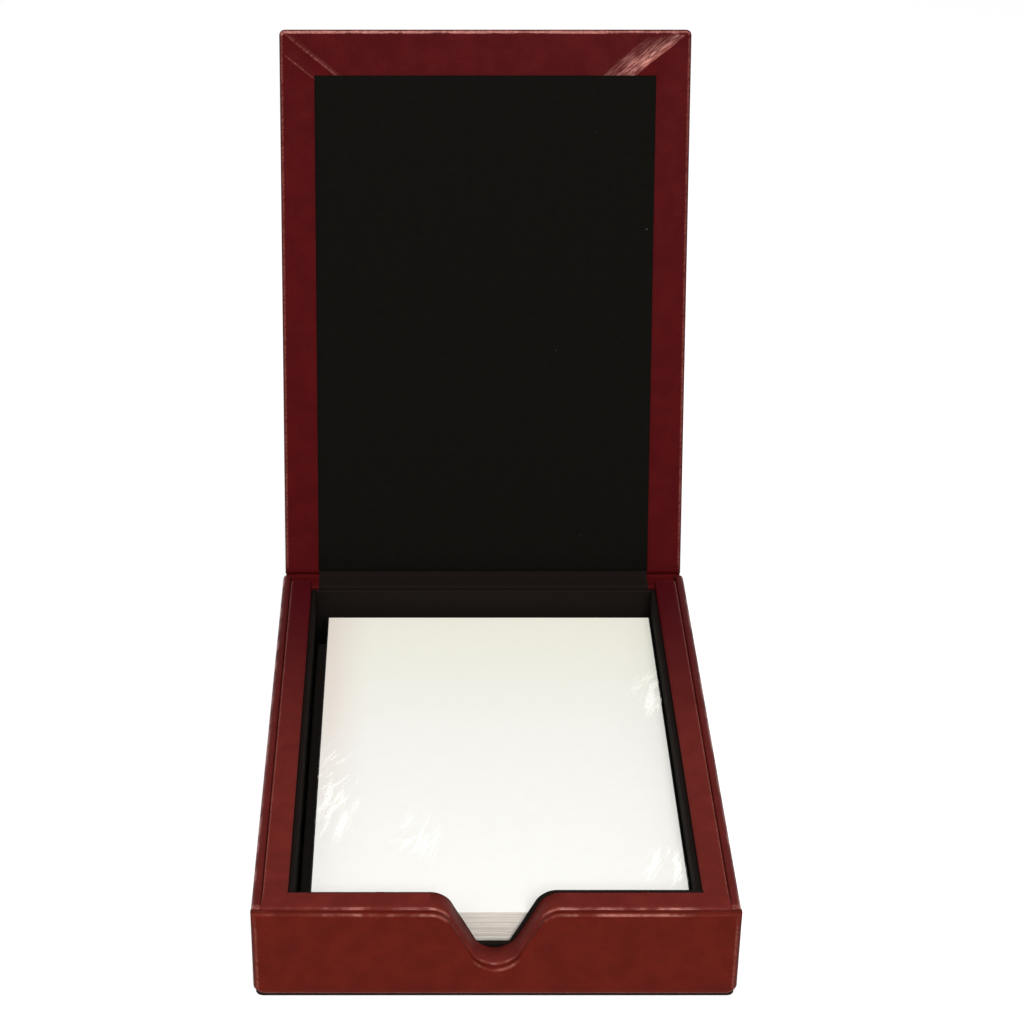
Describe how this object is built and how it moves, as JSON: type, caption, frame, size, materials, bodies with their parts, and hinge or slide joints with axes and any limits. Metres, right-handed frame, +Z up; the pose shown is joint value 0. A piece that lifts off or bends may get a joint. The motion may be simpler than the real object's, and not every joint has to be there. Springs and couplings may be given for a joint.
{
  "type": "memo holder",
  "caption": "Leather-covered memo box: a low tray for note sheets with a finger notch in its front wall and a lined lid on a leather hinge.",
  "frame": {"origin": "on the table under the middle of the tray, at the centre of the felt's underside", "axes": "+X across the box to the user's right, +Y from the notched front to the hinge, +Z up"},
  "size_m": [0.128, 0.2313, 0.1892],
  "materials": {
    "leather": "smooth burgundy hide, semi-gloss",
    "thread": "burgundy sewing thread",
    "lining": "black lining cloth",
    "felt": "black felt",
    "board": "grey binder's board",
    "paper": "uncoated white paper",
    "film": "clear shrink film"
  },
  "bodies": {
    "base": {"base_felt": "felt", "bottom_board": "board", "floor_lining": "lining", "front_leather": "leather", "front_panel_card": "board", "right_leather": "leather", "left_leather": "leather", "right_panel_card": "board", "left_panel_card": "board", "front_rim_leather": "leather", "front_wall": "board", "right_rim_leather": "leather", "left_rim_leather": "leather", "right_wall": "board", "left_wall": "board", "back_wall": "board", "back_leather": "leather", "hinge_leather": "leather", "hinge_lining": "lining", "front_lining": "lining", "back_lining": "lining", "right_lining": "lining", "left_lining": "lining", "front_stitching": "thread"},
    "lid": {"lid_board": "board", "lid_leather": "leather", "lid_lining": "lining"},
    "pad": {"memo_sheets": "paper", "paper_wrap": "film"}
  },
  "joints": [
    {"name": "lid_hinge", "type": "hinge", "parent": "base", "child": "lid", "pos_m": [0, 0.0863, 0.0262], "axis": [1, 0, 0], "range_deg": [0, 108]},
    {"name": "pad_lift", "type": "slide", "parent": "base", "child": "pad", "axis": [0, 0, 1], "range_m": [0, 0.008]}
  ]
}
